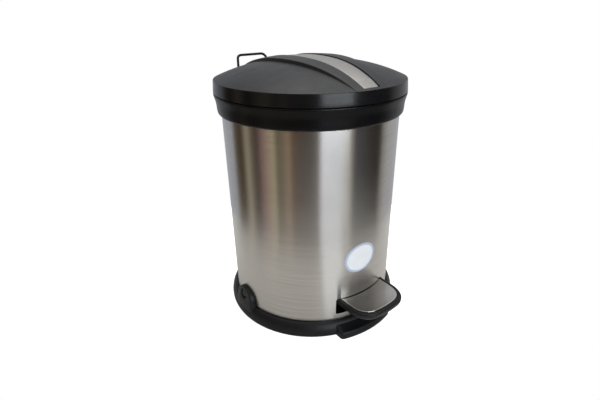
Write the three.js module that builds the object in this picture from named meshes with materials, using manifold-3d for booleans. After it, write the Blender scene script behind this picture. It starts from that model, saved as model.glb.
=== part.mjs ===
// Pedal bin: a round steel body in a moulded base ring, a hinged domed lid, a foot pedal, and a
// push rod that carries the pedal's movement up the back of the bin to the lid.
// Millimetres. +Z is up, the pedal points along -Y, and the origin is on the bin's axis at floor level.

import * as THREE from 'three'
import { mergeVertices } from 'three/addons/utils/BufferGeometryUtils.js'
import Module from 'manifold-3d'

const wasm = await Module()
wasm.setup()

// ---------------------------------------------------------------- driving dimensions

const RING_SEGMENTS = 48 // sides of the large turned parts
const SMALL_SEGMENTS = 20 // sides of pins, screws and holes
const GAP = 0.3 // air between parts that touch on the real bin

// steel body
const BODY_FLOOR_Z = 16 // where the steel leaves the base ring
const BODY_FLOOR_R = 90.8
const BODY_TOP_Z = 224.7 // where the steel enters the collar
const BODY_TOP_R = 93.5
const BODY_WALL = 0.7
const BODY_LOW_END = 8
const BODY_HIGH_END = 238

// pedal slot in the steel
const SLOT_LOW = 22.4
const SLOT_HIGH = 42.1
const SLOT_HALF_WIDTH = 33.9

// pedal and its axle
const AXLE_Z = 27
const AXLE_R = 3
const AXLE_END = 94.5
const PEDAL_REACH = 127.5 // front of the pedal, from the bin's axis
const PEDAL_HALF_WIDTH = 33.1
const PEDAL_TOP = 41.0
const LEVER_TOP = 24.0 // where the push rod stands
const LEVER_BAR = 3
const LEVER_HALF_WIDTH = 9

// lid
const LID_EDGE_Z = 258
const LID_EDGE_R = 98.8
const LID_SKIRT_Z = 245.8
const LID_SKIRT_R = 100.2
const LID_WALL = 2.2
const DOME_RISE = 17.5
const DOME_POWER = 2.5
const BAND_RISE = 20.7
const BAND_POWER = 2.6

// lid hinge and push rod
const HINGE_Y = 97.5
const HINGE_Z = 249.6
const HINGE_PIN_R = 1.75
const ROD_R = 1.5
const ROD_Y = 88
const FOOT_Y = 86 // the rod's lower end stands on the lever here
const CAM_R = HINGE_Y - ROD_Y // base circle of the lid's involute cam
const CAM_START = 1.5 // unrolled length where the cam meets the rod with the lid shut
const LID_OPEN = 64 // degrees

// inner bucket
const BUCKET_FLOOR = 47.5
const BUCKET_RIM = 243.35
const BUCKET_WALL = 1.5

// carry handle
const HANDLE_Y = 104.5
const HANDLE_Z = 238
const HANDLE_WIRE_R = 1.5

// ---------------------------------------------------------------- materials

function material(name, color, roughness, metalness) {
  const m = new THREE.MeshStandardMaterial({ color, roughness, metalness })
  m.name = name
  return m
}

const blackPlastic = () => material('black_plastic', 0x17181a, 0.5, 0)
const lidPlastic = () => material('lid_plastic', 0x1d1e20, 0.42, 0)
const brushedSteel = () => material('brushed_steel', 0xa9a6a1, 0.32, 1)
const plainSteel = () => material('plain_steel', 0x8d8f92, 0.4, 1)
const bucketPlastic = () => material('bucket_plastic', 0x2b2d30, 0.6, 0)
const blackWire = () => material('black_wire', 0x121315, 0.38, 0)
const labelPaper = () => material('label_paper', 0xe9ecef, 0.5, 0)

// ---------------------------------------------------------------- shape tools

function toSolid(geometry) {
  const g = geometry.clone()
  g.deleteAttribute('normal')
  g.deleteAttribute('uv')
  const merged = mergeVertices(g, 1e-4)
  const mesh = new wasm.Mesh({
    numProp: 3,
    vertProperties: new Float32Array(merged.attributes.position.array),
    triVerts: new Uint32Array(merged.index.array),
  })
  mesh.merge()
  return new wasm.Manifold(mesh)
}

function toGeometry(solid) {
  const mesh = solid.getMesh()
  const g = new THREE.BufferGeometry()
  g.setAttribute('position', new THREE.BufferAttribute(new Float32Array(mesh.vertProperties), 3))
  g.setIndex(new THREE.BufferAttribute(new Uint32Array(mesh.triVerts), 1))
  g.computeVertexNormals()
  return g
}

// Turned solid about Z. A profile is a closed loop, or starts and ends on the axis.
// Points run up the outside and come back down the inside.
function turned(points, segments = RING_SEGMENTS) {
  const profile = points.map(([r, z]) => new THREE.Vector2(r, z))
  const closed = points[0][0] > 0
  if (closed) profile.push(profile[0].clone())
  const g = new THREE.LatheGeometry(profile, segments)
  g.rotateX(Math.PI / 2)
  return toSolid(g)
}

function shapeOf(points) {
  return new THREE.Shape(points.map(([x, y]) => new THREE.Vector2(x, y)))
}

// Upright prism between two heights.
function prism(shape, low, high, curveSegments = 10) {
  const g = new THREE.ExtrudeGeometry(shape, { depth: high - low, bevelEnabled: false, curveSegments })
  g.translate(0, 0, low)
  return toSolid(g)
}

// Prism across the bin: the shape is drawn in (y, z), and the prism runs along X.
function crossPrism(shape, low, high, curveSegments = 10) {
  const g = new THREE.ExtrudeGeometry(shape, { depth: high - low, bevelEnabled: false, curveSegments })
  g.applyMatrix4(new THREE.Matrix4().set(0, 0, 1, low, 1, 0, 0, 0, 0, 1, 0, 0, 0, 0, 0, 1))
  return toSolid(g)
}

function block(x0, x1, y0, y1, z0, z1) {
  const g = new THREE.BoxGeometry(x1 - x0, y1 - y0, z1 - z0)
  g.translate((x0 + x1) / 2, (y0 + y1) / 2, (z0 + z1) / 2)
  return toSolid(g)
}

function uprightRod(r, x, y, low, high, segments = SMALL_SEGMENTS) {
  const g = new THREE.CylinderGeometry(r, r, high - low, segments)
  g.rotateX(Math.PI / 2)
  g.translate(x, y, (low + high) / 2)
  return toSolid(g)
}

function crossRod(r, y, z, low, high, segments = SMALL_SEGMENTS) {
  const g = new THREE.CylinderGeometry(r, r, high - low, segments)
  g.rotateZ(Math.PI / 2)
  g.translate((low + high) / 2, y, z)
  return toSolid(g)
}

// Round wire through corner points, each corner bent to its own radius.
function wire(corners, bends, radius, steps) {
  const path = new THREE.CurvePath()
  const points = corners.map((c) => new THREE.Vector3(...c))
  let from = points[0]
  for (let i = 1; i < points.length - 1; i++) {
    const back = points[i - 1].clone().sub(points[i]).setLength(bends[i - 1])
    const on = points[i + 1].clone().sub(points[i]).setLength(bends[i - 1])
    const start = points[i].clone().add(back)
    const end = points[i].clone().add(on)
    path.add(new THREE.LineCurve3(from, start))
    path.add(new THREE.QuadraticBezierCurve3(start, points[i], end))
    from = end
  }
  path.add(new THREE.LineCurve3(from, points[points.length - 1]))
  return alongPath(path, radius, steps)
}

function alongPath(path, radius, steps) {
  const section = new THREE.Shape()
  section.absarc(0, 0, radius, 0, Math.PI * 2)
  const g = new THREE.ExtrudeGeometry(section, { steps, extrudePath: path, curveSegments: 5 })
  return toSolid(g)
}

// ---------------------------------------------------------------- shared curves

function bodyRadius(z) {
  const slope = (BODY_TOP_R - BODY_FLOOR_R) / (BODY_TOP_Z - BODY_FLOOR_Z)
  return BODY_FLOOR_R + slope * (z - BODY_FLOOR_Z)
}

function domeHeight(r, rise = DOME_RISE, power = DOME_POWER) {
  return LID_EDGE_Z + rise * (1 - Math.pow(r / LID_EDGE_R, power))
}

// Half of a dome from its edge up to the axis, moved up by lift.
function domeProfile(rise, power, lift, steps, edge = LID_EDGE_R) {
  const points = []
  for (let i = 0; i <= steps; i++) {
    const r = edge * (1 - i / steps)
    points.push([r, domeHeight(r, rise, power) + lift])
  }
  return points
}

// Solid under a dome, down to a flat floor.
function underDome(rise, power, lift, floor, edge = LID_EDGE_R) {
  return turned([[0, floor], [edge, floor], ...domeProfile(rise, power, lift, 9, edge)])
}

// ---------------------------------------------------------------- base

function axleLug(side) {
  const arch = new THREE.Shape()
  arch.moveTo(-19, 6)
  arch.lineTo(19, 6)
  arch.quadraticCurveTo(16.5, 10, 15.5, 20)
  arch.absarc(0, 20, 15.5, 0, Math.PI)
  arch.quadraticCurveTo(-16.5, 10, -19, 6)
  const slab = side > 0 ? crossPrism(arch, 85, 99, 7) : crossPrism(arch, -99, -85, 7)
  const shell = turned([[91.6, 5], [97.4, 5], [97.4, 13], [95.1, 34], [94.4, 37], [91.6, 37]])
  return slab.intersect(shell)
}

function tongue() {
  const plan = shapeOf([[-35.4, -108], [35.4, -108], [35.4, -84], [-35.4, -84]])
  const foot = turned([[88, 0], [106.3, 0], [105.8, 7.6], [104.6, 8.8], [97, 11], [91.6, 15.4], [88, 7]])
  return foot.intersect(prism(plan, -1, 20))
}

function screwPlaces() {
  return [45, 135, 225, 315].map((degrees) => {
    const a = THREE.MathUtils.degToRad(degrees)
    return [81 * Math.cos(a), 81 * Math.sin(a)]
  })
}

function baseRing() {
  let ring = turned([
    [85.4, 0], [97, 0], [98.3, 3.5], [98.2, 8], [96.6, 12], [94, 15.2], [92.4, 16.2], [91.25, 16.2],
    [91.25, 7.6], [89.3, 7.6], [89.3, 12], [87.6, 12], [87.6, 5.4], [77, 5.4], [77, 2.8], [85.4, 2.8],
  ])
  ring = ring.add(tongue())
  for (const side of [-1, 1]) {
    ring = ring.add(axleLug(side))
  }
  ring = ring.subtract(turned([[89.3, 7.6], [91.25, 7.6], [91.25, 18], [91.6, 44], [89.3, 44]]))
  for (const side of [-1, 1]) {
    const hole = crossRod(AXLE_R + GAP, 0, AXLE_Z, side > 0 ? 80 : -110, side > 0 ? 110 : -80)
    const recess = crossRod(5.8, 0, AXLE_Z, side > 0 ? 93.2 : -110, side > 0 ? 110 : -93.2)
    ring = ring.subtract(hole).subtract(recess)
  }
  for (const [x, y] of screwPlaces()) {
    ring = ring.subtract(uprightRod(1.8, x, y, 1, 8, 12))
  }
  return ring
}

function bottomCover() {
  let cover = turned([[0, 0], [85, 0], [85, 2.5], [60, 2.5], [56, 3.6], [0, 3.6]], 48)
  for (const [x, y] of screwPlaces()) {
    cover = cover.subtract(uprightRod(1.8, x, y, -1, 5, 12)).subtract(uprightRod(3.5, x, y, -1, 1.5, 12))
  }
  return cover
}

function bottomScrew(x, y) {
  return uprightRod(3.1, x, y, 0.3, 1.2, 12).add(uprightRod(1.45, x, y, 0.8, 8, 12))
}

// ---------------------------------------------------------------- steel body

function bodyShell() {
  let shell = turned([
    [bodyRadius(BODY_LOW_END) - BODY_WALL, BODY_LOW_END],
    [bodyRadius(BODY_LOW_END), BODY_LOW_END],
    [bodyRadius(BODY_HIGH_END), BODY_HIGH_END],
    [bodyRadius(BODY_HIGH_END) - BODY_WALL, BODY_HIGH_END],
  ])
  shell = shell.subtract(block(-SLOT_HALF_WIDTH, SLOT_HALF_WIDTH, -100, -60, SLOT_LOW, SLOT_HIGH))
  for (const side of [-1, 1]) {
    const low = side > 0 ? 80 : -100
    shell = shell.subtract(crossRod(AXLE_R + 0.6, 0, AXLE_Z, low, low + 20))
  }
  return shell
}

// Blank oval sticker on the front of the steel.
function label() {
  const oval = new THREE.Shape()
  oval.absellipse(0, 0, 18.5, 15.5, 0, Math.PI * 2)
  const g = new THREE.ExtrudeGeometry(oval, { depth: 20, bevelEnabled: false, curveSegments: 16 })
  g.rotateX(Math.PI / 2)
  g.translate(0, -80, 86)
  const skin = turned([
    [bodyRadius(66) + GAP, 66],
    [bodyRadius(66) + 0.6, 66],
    [bodyRadius(106) + 0.6, 106],
    [bodyRadius(106) + GAP, 106],
  ])
  return toSolid(g).intersect(skin)
}

// ---------------------------------------------------------------- collar and hinge

function collarRing() {
  return turned([
    [96.2, 224.7], [97.2, 226.2], [97.6, 229], [98.1, 236], [99.9, 243.2], [100.1, 244.2], [97.5, 245],
    [85.4, 245], [85.4, 243], [82.5, 243], [82.5, 234], [84.1, 234], [84.1, 240.8], [90.9, 240.8],
    [90.9, 229], [92.5, 229], [92.5, 238.4], [94.1, 238.4], [93.9, 224.7],
  ])
}

function collar() {
  let c = collarRing()
  let housing = block(-24.6, 24.6, 94.6, 108, 230, 245)
  housing = housing.subtract(block(-17, 17, 98, 105, 226, 241.5))
  c = c.add(housing)
  for (const side of [-1, 1]) {
    const low = side > 0 ? 15.2 : -21.2
    const ear = crossRod(4.2, HINGE_Y, HINGE_Z, low, low + 6)
    const foot = block(low, low + 6, HINGE_Y - 4, HINGE_Y + 4, 242.5, HINGE_Z)
    c = c.add(ear).add(foot)
    const end = side > 0 ? 19.6 : -27.6
    c = c.subtract(crossRod(HANDLE_WIRE_R + GAP, HANDLE_Y, HANDLE_Z, end, end + 8))
  }
  c = c.subtract(crossRod(HINGE_PIN_R + GAP, HINGE_Y, HINGE_Z, -30, 30))
  c = c.subtract(uprightRod(ROD_R + 0.4, 0, ROD_Y, 236, 250, 16))
  return c
}

function carryHandle() {
  const top = [124, 270]
  return wire(
    [
      [-20.2, HANDLE_Y, HANDLE_Z],
      [-28.6, HANDLE_Y, HANDLE_Z],
      [-18.5, ...top],
      [18.5, ...top],
      [28.6, HANDLE_Y, HANDLE_Z],
      [20.2, HANDLE_Y, HANDLE_Z],
    ],
    [2.6, 5, 5, 2.6],
    HANDLE_WIRE_R,
    46,
  )
}

// ---------------------------------------------------------------- inner bucket

function bailEar(side) {
  const low = side > 0 ? 80 : -82.4
  const tab = block(low, low + 2.4, -4.5, 4.5, 243.6, 248).add(crossRod(4.5, 0, 248, low, low + 2.4, 16))
  return tab
}

function innerBucket() {
  let bucket = turned(
    [
      [0, BUCKET_FLOOR], [69, BUCKET_FLOOR], [71.5, BUCKET_FLOOR + 2.5], [81.6, 241], [81.6, BUCKET_RIM],
      [84.9, BUCKET_RIM], [84.9, BUCKET_RIM + 1.6], [80.1, BUCKET_RIM + 1.6], [70, BUCKET_FLOOR + 4],
      [68.5, BUCKET_FLOOR + BUCKET_WALL], [0, BUCKET_FLOOR + BUCKET_WALL],
    ],
    48,
  )
  for (const side of [-1, 1]) {
    bucket = bucket.add(bailEar(side))
  }
  return bucket.subtract(crossRod(1.55, 0, 248, -90, 90, 12))
}

// Half-round bail that lies over the front of the rim and turns in the two ears.
function bucketBail() {
  const reach = 85.4
  const path = new THREE.CurvePath()
  const left = new THREE.Vector3(-reach, -3, 0)
  const right = new THREE.Vector3(reach, -3, 0)
  path.add(new THREE.LineCurve3(new THREE.Vector3(-78.6, 0, 0), new THREE.Vector3(-reach + 1.6, 0, 0)))
  path.add(new THREE.QuadraticBezierCurve3(
    new THREE.Vector3(-reach + 1.6, 0, 0), new THREE.Vector3(-reach, 0, 0), left,
  ))
  const arc = []
  const start = Math.PI + Math.asin(3 / reach)
  for (let i = 0; i <= 28; i++) {
    const a = start + ((Math.PI - 2 * Math.asin(3 / reach)) * i) / 28
    arc.push(new THREE.Vector3(reach * Math.cos(a), reach * Math.sin(a), 0))
  }
  path.add(new THREE.CatmullRomCurve3(arc))
  path.add(new THREE.QuadraticBezierCurve3(
    right, new THREE.Vector3(reach, 0, 0), new THREE.Vector3(reach - 1.6, 0, 0),
  ))
  path.add(new THREE.LineCurve3(new THREE.Vector3(reach - 1.6, 0, 0), new THREE.Vector3(78.6, 0, 0)))
  return alongPath(path, 1.25, 84).translate([0, 0, 248])
}

// ---------------------------------------------------------------- pedal

function pedalOutline(inset) {
  const w = PEDAL_HALF_WIDTH - inset
  const front = -(PEDAL_REACH - inset)
  const s = new THREE.Shape()
  s.moveTo(-w, -84)
  s.lineTo(w, -84)
  s.lineTo(w - 0.5, -104)
  s.bezierCurveTo(w - 1.2, -116, w - 8, front + 1.8, w - 17, front + 0.8)
  s.quadraticCurveTo(0, front - 0.8, -w + 17, front + 0.8)
  s.bezierCurveTo(-w + 8, front + 1.8, -w + 1.2, -116, -w + 0.5, -104)
  return s
}

function pedalHousing() {
  const bowl = prism(pedalOutline(0), 36, PEDAL_TOP, 8).add(prism(pedalOutline(2.2), 32.5, 37, 8))
  let housing = bowl.subtract(block(-40, 40, -97, -80, 20, 34.6))
  housing = housing.add(block(-20, 20, -85, -62, 34.6, PEDAL_TOP))
  housing = housing.subtract(prism(pedalOutline(4), PEDAL_TOP - 1.4, PEDAL_TOP + 1, 8))
  for (const x of [-6, 6]) {
    housing = housing.subtract(uprightRod(2.3, x, -74, 30, 45, 12))
  }
  return housing
}

function pedalPlate() {
  const plate = prism(pedalOutline(4.3), PEDAL_TOP - 1.1, PEDAL_TOP + 0.2, 8)
  return plate.intersect(block(-40, 40, -130, -84.4, 30, 50))
}

function pedalLever() {
  const bottom = LEVER_TOP - LEVER_BAR
  const side = shapeOf([
    [88.6, bottom], [88.6, LEVER_TOP], [-51, LEVER_TOP], [-61.2, 34.2], [-86, 34.2], [-86, 31.6],
    [-60, 31.6], [-50, bottom],
  ])
  let lever = crossPrism(side, -LEVER_HALF_WIDTH, LEVER_HALF_WIDTH)
  lever = lever.add(crossRod(6.5, 0, AXLE_Z, -13, 13))
  lever = lever.subtract(crossRod(AXLE_R + GAP, 0, AXLE_Z, -20, 20))
  for (const x of [-6, 6]) {
    lever = lever.subtract(uprightRod(2.3, x, -74, 28, 36, 12))
  }
  return lever
}

function pedalRivet(x) {
  const head = uprightRod(3.6, x, -74, PEDAL_TOP + GAP, PEDAL_TOP + 1.5, 12)
  const foot = uprightRod(2.9, x, -74, 30, 31.3, 12)
  return head.add(foot).add(uprightRod(2, x, -74, 30.5, PEDAL_TOP + 1, 12))
}

function axle() {
  return crossRod(AXLE_R, 0, AXLE_Z, -AXLE_END, AXLE_END)
}

function axleCap(side) {
  const low = side > 0 ? 93.5 : -94.3
  const cap = crossRod(4.9, 0, AXLE_Z, low, low + 0.8)
  return cap.subtract(crossRod(AXLE_R + GAP, 0, AXLE_Z, low - 1, low + 2))
}

// ---------------------------------------------------------------- push rod

const ROD_TOP = HINGE_Z + CAM_START - GAP
const ROD_FOOT = LEVER_TOP + GAP

function pushRod() {
  const shaft = wire(
    [
      [0, FOOT_Y, ROD_FOOT + 3],
      [0, FOOT_Y, 62],
      [0, ROD_Y, 76],
      [0, ROD_Y, ROD_TOP - ROD_R + 0.05],
    ],
    [3, 3],
    ROD_R,
    24,
  )
  return shaft.add(turned(roundTip(), 20).translate([0, ROD_Y, 0]))
}

function roundTip() {
  const tip = [[0, ROD_TOP - 3], [ROD_R - 0.02, ROD_TOP - 3]]
  for (let i = 0; i < 4; i++) {
    const a = (Math.PI / 2) * (i / 4)
    tip.push([ROD_R * Math.cos(a), ROD_TOP - ROD_R + ROD_R * Math.sin(a)])
  }
  return [...tip, [0, ROD_TOP]]
}

// Moulded foot on the rod's lower end, rounded underneath where it stands on the lever.
function rodFoot() {
  const r = 3.3
  const top = ROD_FOOT + 12
  const bore = ROD_R + GAP
  const round = [[0, ROD_FOOT]]
  for (let i = 1; i <= 5; i++) {
    const a = (Math.PI / 2) * (i / 5)
    round.push([r * Math.sin(a), ROD_FOOT + r - r * Math.cos(a)])
  }
  return turned([...round, [r, top], [bore, top], [bore, ROD_FOOT + 2.6], [0, ROD_FOOT + 2.6]], 16)
    .translate([0, FOOT_Y, 0])
}

// ---------------------------------------------------------------- lid

// Half width of the raised band: widest behind the middle, narrow at the front edge.
function bandOutline(inset) {
  const s = new THREE.Shape()
  s.moveTo(-37 + inset, 100)
  s.lineTo(-37.5 + inset, 50)
  s.bezierCurveTo(-37 + inset, 10, -30 + inset, -46, -17 + inset, -101)
  s.lineTo(17 - inset, -101)
  s.bezierCurveTo(30 - inset, -46, 37 - inset, 10, 37.5 - inset, 50)
  s.lineTo(37 - inset, 100)
  return s
}

function stripOutline(grow) {
  const front = -95.5 - grow
  const back = 92 + grow
  const s = new THREE.Shape()
  s.moveTo(-15 - grow, back)
  s.bezierCurveTo(-16 - grow, 20, -12.5 - grow, -50, -8.6 - grow, front)
  s.lineTo(8.6 + grow, front)
  s.bezierCurveTo(12.5 + grow, -50, 16 + grow, 20, 15 + grow, back)
  return s
}

function lidShell() {
  let lid = turned([
    [LID_SKIRT_R - LID_WALL, LID_SKIRT_Z],
    [LID_SKIRT_R, LID_SKIRT_Z],
    [LID_EDGE_R + 0.4, LID_EDGE_Z - 1.2],
    ...domeProfile(DOME_RISE, DOME_POWER, 0, 9),
    ...domeProfile(DOME_RISE, DOME_POWER, -LID_WALL, 8, LID_EDGE_R - LID_WALL).reverse(),
  ])
  const band = prism(bandOutline(0), 240, 290)
    .intersect(underDome(BAND_RISE, BAND_POWER, 0, 244))
    .subtract(underDome(DOME_RISE, DOME_POWER, -1, 240, LID_EDGE_R))
  lid = lid.add(band)
  const channel = prism(stripOutline(GAP), 240, 290)
    .intersect(underDome(BAND_RISE, BAND_POWER, 2, 244))
    .subtract(underDome(BAND_RISE, BAND_POWER, -1.3, 240))
  lid = lid.subtract(channel)
  lid = lid.subtract(block(-22.6, 22.6, 88, 104, 240, 255.4))
  for (const x of [-9.7, 9.7]) {
    lid = lid.subtract(uprightRod(1.8, x, 78, 250, 265.7, 12))
  }
  return lid
}

function lidStrip() {
  return prism(stripOutline(0), 240, 290)
    .intersect(underDome(BAND_RISE, BAND_POWER, -0.3, 244))
    .subtract(underDome(BAND_RISE, BAND_POWER, -1, 240))
}

// Involute of the cam's base circle, so that the lid turns in step with the rod.
function camCurve() {
  const points = []
  for (let degrees = 0; degrees <= LID_OPEN + 1; degrees += 6) {
    const a = THREE.MathUtils.degToRad(degrees)
    const length = CAM_START + CAM_R * a
    points.push([
      HINGE_Y - CAM_R * Math.cos(a) - length * Math.sin(a),
      HINGE_Z - CAM_R * Math.sin(a) + length * Math.cos(a),
    ])
  }
  return points
}

function lidHingeArm() {
  const curve = camCurve()
  const side = shapeOf([
    [HINGE_Y, HINGE_Z + 3.5],
    [HINGE_Y - 2, HINGE_Z + 6],
    [HINGE_Y - 5, 257],
    [HINGE_Y - 19, 258],
    [HINGE_Y - 19, HINGE_Z - 2.5],
    ...curve.reverse(),
    [HINGE_Y - 4, HINGE_Z + CAM_START],
    [HINGE_Y - 2, HINGE_Z - 2.5],
  ])
  let arm = crossPrism(side, -6, 6)
  arm = arm.add(crossRod(4, HINGE_Y, HINGE_Z, -14.6, 14.6))
  const pad = block(-13, 13, 68, 92.5, 256, 275)
    .intersect(underDome(DOME_RISE, DOME_POWER, -LID_WALL - GAP - 0.15, 240, LID_EDGE_R - LID_WALL))
  arm = arm.add(pad)
  arm = arm.subtract(crossRod(HINGE_PIN_R + GAP, HINGE_Y, HINGE_Z, -30, 30))
  for (const x of [-9.7, 9.7]) {
    arm = arm.subtract(uprightRod(1.8, x, 78, 250, 270, 12))
  }
  return arm
}

function lidScrew(x) {
  return uprightRod(3, x, 78, 254.2, 255.7, 12).add(uprightRod(1.5, x, 78, 255, 265.3, 12))
}

function hingePin() {
  return crossRod(HINGE_PIN_R, HINGE_Y, HINGE_Z, -22.2, 22.2)
}

// ---------------------------------------------------------------- assembly

const bin = new THREE.Group()
bin.name = 'pedal_bin'

function place(parent, name, solid, mat) {
  const mesh = new THREE.Mesh(toGeometry(solid), mat)
  mesh.name = name
  parent.add(mesh)
}

function groupOf(name) {
  const g = new THREE.Group()
  g.name = name
  bin.add(g)
  return g
}

const stand = groupOf('stand_group')
place(stand, 'base_ring', baseRing(), blackPlastic())
place(stand, 'bottom_cover', bottomCover(), blackPlastic())
screwPlaces().forEach(([x, y], i) => {
  place(stand, `bottom_screw_${i + 1}`, bottomScrew(x, y), plainSteel())
})
place(stand, 'body_shell', bodyShell(), brushedSteel())
place(stand, 'label', label(), labelPaper())
place(stand, 'collar', collar(), blackPlastic())
place(stand, 'hinge_pin', hingePin(), plainSteel())
place(stand, 'axle', axle(), plainSteel())
place(stand, 'axle_cap_left', axleCap(-1), blackPlastic())
place(stand, 'axle_cap_right', axleCap(1), blackPlastic())

const pedal = groupOf('pedal_group')
place(pedal, 'pedal_lever', pedalLever(), plainSteel())
place(pedal, 'pedal_housing', pedalHousing(), blackPlastic())
place(pedal, 'pedal_plate', pedalPlate(), brushedSteel())
place(pedal, 'pedal_rivet_left', pedalRivet(-6), plainSteel())
place(pedal, 'pedal_rivet_right', pedalRivet(6), plainSteel())

const rod = groupOf('rod_group')
place(rod, 'push_rod', pushRod(), plainSteel())
place(rod, 'rod_foot', rodFoot(), blackPlastic())

const lid = groupOf('lid_group')
place(lid, 'lid_shell', lidShell(), lidPlastic())
place(lid, 'lid_strip', lidStrip(), brushedSteel())
place(lid, 'lid_hinge_arm', lidHingeArm(), blackPlastic())
place(lid, 'lid_screw_left', lidScrew(-9.7), plainSteel())
place(lid, 'lid_screw_right', lidScrew(9.7), plainSteel())

const bucket = groupOf('bucket_group')
place(bucket, 'inner_bucket', innerBucket(), bucketPlastic())
place(bucket, 'bucket_bail', bucketBail(), blackWire())

place(groupOf('handle_group'), 'carry_handle', carryHandle(), blackWire())

export default bin
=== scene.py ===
import math
import bpy
import bmesh
from mathutils import Matrix, Vector


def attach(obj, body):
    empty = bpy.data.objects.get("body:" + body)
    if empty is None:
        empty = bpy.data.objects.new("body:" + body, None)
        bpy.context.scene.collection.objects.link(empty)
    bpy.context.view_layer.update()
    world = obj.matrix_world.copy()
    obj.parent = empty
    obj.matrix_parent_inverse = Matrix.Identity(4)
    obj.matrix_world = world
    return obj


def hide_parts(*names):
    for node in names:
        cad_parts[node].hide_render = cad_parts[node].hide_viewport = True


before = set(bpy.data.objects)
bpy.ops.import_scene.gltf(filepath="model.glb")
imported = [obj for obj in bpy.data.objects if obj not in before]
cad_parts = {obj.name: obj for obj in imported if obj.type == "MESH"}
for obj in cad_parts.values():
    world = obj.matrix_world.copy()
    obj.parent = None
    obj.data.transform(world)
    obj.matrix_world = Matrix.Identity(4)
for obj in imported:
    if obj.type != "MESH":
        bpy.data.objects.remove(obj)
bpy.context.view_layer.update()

MM = 0.001

# ---------------------------------------------------------------- sizes shared with the CAD model (mm)

BODY_FLOOR_Z, BODY_FLOOR_R = 16.0, 90.8
BODY_TOP_Z, BODY_TOP_R = 224.7, 93.5
SLOT_LOW, SLOT_HIGH, SLOT_HALF = 22.4, 41.75, 33.9
AXLE_Z = 27.0
PEDAL_REACH, PEDAL_HALF, PEDAL_TOP = 127.5, 33.1, 41.0
PEDAL_NECK_Y, PEDAL_NECK_Z = -104.0, 34.7
FOOT_REAR = -84.0
LID_EDGE_Z, LID_EDGE_R = 258.0, 98.8
DOME_RISE, DOME_POWER = 17.5, 2.5
BAND_RISE, BAND_POWER = 20.7, 2.6
HINGE_Y, HINGE_Z = 97.5, 249.6
ROD_Y = 88.0
HANDLE_Y, HANDLE_Z = 104.5, 238.0
BUCKET_FLOOR, BAIL_Z = 47.5, 248.0
BODY_WALL, LID_WALL = 0.7, 2.2
STRIP_FRONT, STRIP_REAR = -95.5, 92.0

FRONT_TURN = math.radians(36.4)  # the pedal points this far to the right of the camera
BAND_TURN = math.radians(-2.4)  # loose assembly: the lid's band and inlay sit a little off the centre plane
PEDAL_TURN = math.radians(1.5)  # and so do the pedal and its slot
LABEL_TURN = math.radians(-3.2)

CAMERA_REACH, CAMERA_HEIGHT = 0.4504, 0.3243  # metres from the bin's axis and above the floor
CAMERA_PITCH, CAMERA_ROLL = math.radians(22.8), math.radians(-0.44)
LENS, LENS_SHIFT = 25.49, (-0.0186, -0.0250)

SIDES = ((-1, "left"), (1, "right"))


def body_r(z):
    return BODY_FLOOR_R + (BODY_TOP_R - BODY_FLOOR_R) * (z - BODY_FLOOR_Z) / (BODY_TOP_Z - BODY_FLOOR_Z)


# ---------------------------------------------------------------- mesh tools


def finish_mesh(name, bm, material, body, replaces=(), sharp=38.0):
    """Turns bm into a smooth object that rides on a body and the CAD nodes it replaces."""
    bmesh.ops.remove_doubles(bm, verts=bm.verts, dist=2e-6)
    bmesh.ops.recalc_face_normals(bm, faces=bm.faces)
    me = bpy.data.meshes.new(name)
    bm.to_mesh(me)
    bm.free()
    me.shade_smooth()
    me.set_sharp_from_angle(angle=math.radians(sharp))
    ob = bpy.data.objects.new(name, me)
    bpy.context.scene.collection.objects.link(ob)
    for m in (material if isinstance(material, (list, tuple)) else [material]):
        me.materials.append(m)
    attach(ob, body)
    if replaces:
        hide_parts(*replaces)
    return ob


def circle(steps):
    """Angles of a full turn."""
    return [2 * math.pi * k / steps for k in range(steps)]


def fillet(points, radii, steps=4):
    """A closed (r, z) outline with each corner rounded to its radius."""
    out = []
    n = len(points)
    for i, (p, r) in enumerate(zip(points, radii)):
        p = Vector(p)
        a = Vector(points[i - 1]) - p
        b = Vector(points[(i + 1) % n]) - p
        if r <= 0:
            out.append(tuple(p))
            continue
        d = min(r, a.length * 0.49, b.length * 0.49)
        start = p + a.normalized() * d
        end = p + b.normalized() * d
        for k in range(steps + 1):
            t = k / steps
            out.append(tuple(start.lerp(p, t).lerp(p.lerp(end, t), t)))
    return out


def lathe(bm, outline, segments, centre_y=0.0, closed=True):
    """Turns a closed outline, or an open one that starts and ends on the axis, about Z."""
    rings = []
    for r, z in outline:
        if r < 1e-6:
            rings.append([bm.verts.new((0, centre_y * MM, z * MM))])
            continue
        rings.append([
            bm.verts.new((r * math.cos(a) * MM, (centre_y + r * math.sin(a)) * MM, z * MM))
            for a in circle(segments)
        ])
    pairs = list(zip(rings, rings[1:]))
    if closed:
        pairs.append((rings[-1], rings[0]))
    for a, b in pairs:
        for k in range(segments):
            k2 = (k + 1) % segments
            if len(a) == 1 and len(b) == 1:
                continue
            if len(a) == 1:
                bm.faces.new((a[0], b[k2], b[k]))
            elif len(b) == 1:
                bm.faces.new((a[k], a[k2], b[0]))
            else:
                bm.faces.new((a[k], a[k2], b[k2], b[k]))


def skin(bm, loops, closed_loops=True, caps=(False, False)):
    """Quads between loops of equal length, with optional fans at the two ends."""
    rows = [[bm.verts.new((x * MM, y * MM, z * MM)) for x, y, z in loop] for loop in loops]
    n = len(rows[0])
    for a, b in zip(rows, rows[1:]):
        for k in range(n if closed_loops else n - 1):
            k2 = (k + 1) % n
            bm.faces.new((a[k], a[k2], b[k2], b[k]))
    for cap, row in zip(caps, (rows[0], rows[-1])):
        if cap:
            centre = sum((v.co for v in row), Vector()) / n
            mid = bm.verts.new(centre)
            for k in range(n):
                bm.faces.new((row[k], row[(k + 1) % n], mid))
    return rows


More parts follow.
